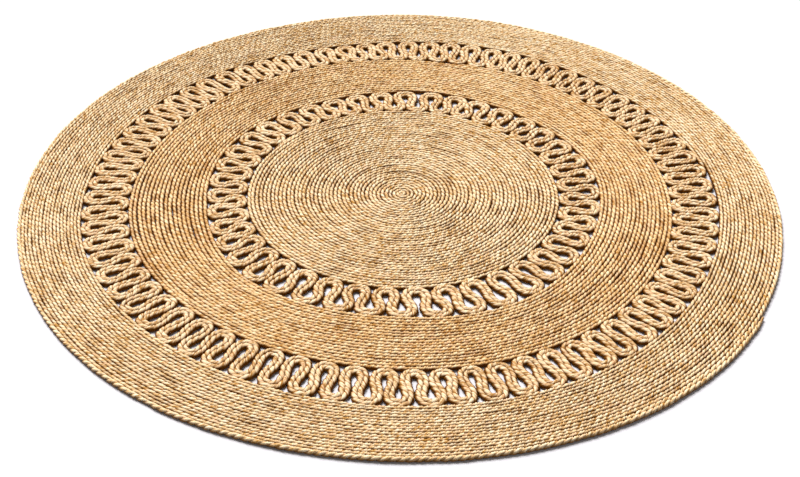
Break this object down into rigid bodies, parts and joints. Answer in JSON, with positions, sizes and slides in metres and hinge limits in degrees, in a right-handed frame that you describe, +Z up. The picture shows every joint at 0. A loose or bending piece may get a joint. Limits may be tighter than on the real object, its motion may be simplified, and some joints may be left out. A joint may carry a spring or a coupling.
{
  "type": "round jute rug",
  "caption": "Round flat rug of jute rope: a coiled centre, a coiled band and a coiled border, joined by two openwork rings of looped rope.",
  "frame": {"origin": "on the underside, at the middle of the rug", "axes": "+Z up through the rug's thickness, -Y towards the viewer, +X to the viewer's right"},
  "size_m": [1.4899, 1.5038, 0.011],
  "materials": {
    "centre_jute": "matt twisted jute rope, pale straw, coiled and sewn side by side",
    "loop_jute": "matt twisted jute rope, pale straw, doubled and laid in loops",
    "golden_jute": "matt twisted jute rope, more golden, coiled and sewn side by side",
    "border_jute": "matt twisted jute rope, straw with brown flecks, coiled and sewn side by side"
  },
  "bodies": {
    "root": {"centre_coil": "centre_jute", "inner_loops": "loop_jute", "middle_band": "golden_jute", "outer_loops": "loop_jute", "border_band": "border_jute"}
  },
  "joints": []
}
